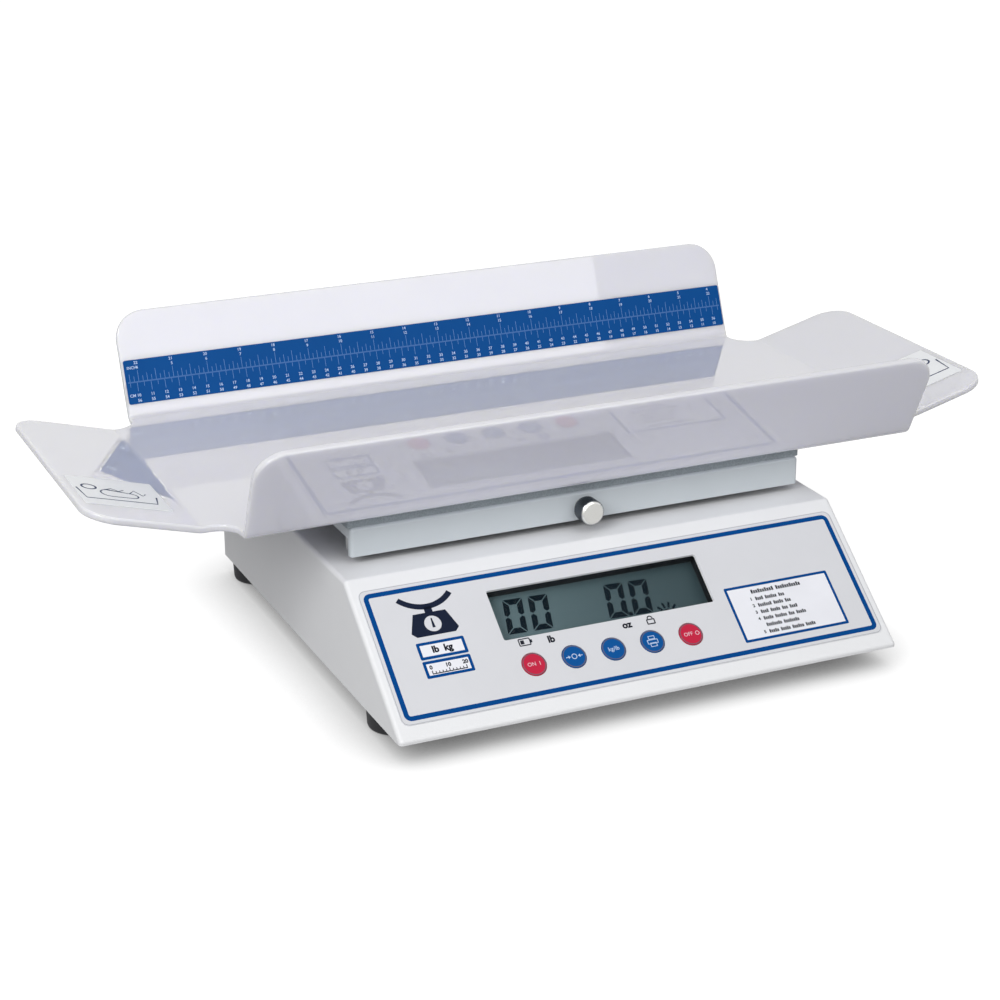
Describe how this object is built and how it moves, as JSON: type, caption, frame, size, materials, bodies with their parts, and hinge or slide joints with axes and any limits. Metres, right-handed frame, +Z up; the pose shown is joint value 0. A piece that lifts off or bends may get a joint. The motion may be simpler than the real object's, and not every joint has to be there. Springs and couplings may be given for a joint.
{
  "type": "digital baby weighing scale",
  "caption": "Digital baby scale: a long bent plastic tray with a ruler on its back flap, on a wedge-shaped steel housing with a sloping display and key panel.",
  "frame": {"origin": "centre of the overall footprint, on the ground under the feet", "axes": "+X along the tray to the operator's right, -Y towards the operator, +Z up"},
  "size_m": [0.6554, 0.377, 0.1942],
  "materials": {
    "tray_plastic": "glossy bent sheet",
    "ruler_film": "printed film",
    "label_film": "printed film",
    "saddle_paint": "powder coat",
    "foam": "closed-cell foam",
    "plated_steel": "zinc plated",
    "fastener_steel": "zinc plated",
    "cast_aluminium": "as cast",
    "machined_aluminium": "machined",
    "thumb_screw_steel": "nickel plated, knurled",
    "washer_steel": "plated",
    "housing_paint": "powder coat",
    "foot_rubber": "moulded",
    "overlay_film": "fine matt film",
    "lens_clear": "clear",
    "hood_black": "moulded",
    "lcd": "reflective liquid-crystal glass",
    "circuit_board": "solder mask",
    "chip_black": "moulded",
    "spring_steel": "nickel plated",
    "key_red": "printed film",
    "key_blue": "printed film",
    "battery_case": "moulded",
    "battery_wrap": "sleeved cell",
    "jack_black": "moulded",
    "port_metal": "plated shell"
  },
  "bodies": {
    "base": {"housing_cover": "housing_paint", "base_plate": "plated_steel", "cover_screws": "fastener_steel", "foot_front_left": "foot_rubber", "foot_front_right": "foot_rubber", "foot_rear_left": "foot_rubber", "foot_rear_right": "foot_rubber", "foot_screws": "fastener_steel", "foot_nuts": "fastener_steel", "load_cell": "machined_aluminium", "load_cell_base_spacer": "plated_steel", "load_cell_base_screws": "fastener_steel", "overload_stops": "plated_steel", "control_overlay": "overlay_film", "display_lens": "lens_clear", "lcd_hood": "hood_black", "lcd_glass": "lcd", "display_board": "circuit_board", "display_screws": "fastener_steel", "dome_array": "spring_steel", "key_board": "circuit_board", "key_board_studs": "plated_steel", "key_board_screws": "fastener_steel", "main_board": "circuit_board", "board_parts": "chip_black", "board_standoffs": "plated_steel", "board_screws": "fastener_steel", "battery_box": "battery_case", "battery_cells": "battery_wrap", "battery_contacts": "spring_steel", "power_jack": "jack_black", "serial_port": "port_metal"},
    "platter": {"platter_plate": "plated_steel", "clamp_nut": "plated_steel", "platter_posts": "machined_aluminium", "platter_screws": "fastener_steel", "post_screws": "fastener_steel", "spider_frame": "cast_aluminium", "load_cell_top_spacer": "plated_steel", "load_cell_top_screws": "fastener_steel"},
    "tray_unit": {"tray": "tray_plastic", "ruler_strip": "ruler_film", "position_label_left": "label_film", "position_label_right": "label_film", "tray_saddle": "saddle_paint", "foam_strip_front": "foam", "foam_strip_rear": "foam"},
    "knob_washer": {"knob_washer": "washer_steel"},
    "thumb_screw": {"thumb_screw": "thumb_screw_steel"},
    "key_on": {"key_on": "key_red"},
    "key_zero": {"key_zero": "key_blue"},
    "key_units": {"key_units": "key_blue"},
    "key_print": {"key_print": "key_blue"},
    "key_off": {"key_off": "key_red"},
    "battery_door": {"battery_door": "battery_case"}
  },
  "joints": [
    {"name": "weigh_travel", "type": "slide", "parent": "base", "child": "platter", "axis": [0, 0, -1], "range_m": [0, 0.0006], "stiffness_N_per_m": 150000, "springref_m": -0.0003, "deforming": ["load_cell"]},
    {"name": "tray_lift", "type": "slide", "parent": "platter", "child": "tray_unit", "axis": [0, 0, 1], "range_m": [0, 0.05]},
    {"name": "knob_travel", "type": "slide", "parent": "platter", "child": "knob_washer", "axis": [0, -1, 0], "range_m": [0, 0.0016]},
    {"name": "knob_turn", "type": "hinge", "parent": "knob_washer", "child": "thumb_screw", "pos_m": [0, -0.07754, 0.1025], "axis": [0, -1, 0], "range_deg": [0, 720]},
    {"name": "battery_door_slide", "type": "slide", "parent": "base", "child": "battery_door", "axis": [0, -1, 0], "range_m": [0, 0.052]},
    {"name": "key_on_press", "type": "slide", "parent": "base", "child": "key_on", "axis": [0, 0.6193, -0.7852], "range_m": [0, 0.0005], "stiffness_N_per_m": 2500, "springref_m": -0.0002, "deforming": ["dome_array"]},
    {"name": "key_zero_press", "type": "slide", "parent": "base", "child": "key_zero", "axis": [0, 0.6193, -0.7852], "range_m": [0, 0.0005], "stiffness_N_per_m": 2500, "springref_m": -0.0002, "deforming": ["dome_array"]},
    {"name": "key_units_press", "type": "slide", "parent": "base", "child": "key_units", "axis": [0, 0.6193, -0.7852], "range_m": [0, 0.0005], "stiffness_N_per_m": 2500, "springref_m": -0.0002, "deforming": ["dome_array"]},
    {"name": "key_print_press", "type": "slide", "parent": "base", "child": "key_print", "axis": [0, 0.6193, -0.7852], "range_m": [0, 0.0005], "stiffness_N_per_m": 2500, "springref_m": -0.0002, "deforming": ["dome_array"]},
    {"name": "key_off_press", "type": "slide", "parent": "base", "child": "key_off", "axis": [0, 0.6193, -0.7852], "range_m": [0, 0.0005], "stiffness_N_per_m": 2500, "springref_m": -0.0002, "deforming": ["dome_array"]}
  ],
  "couplings": [
    {"joint": "knob_turn", "follows": "knob_travel", "rad_per_m": 7854}
  ]
}
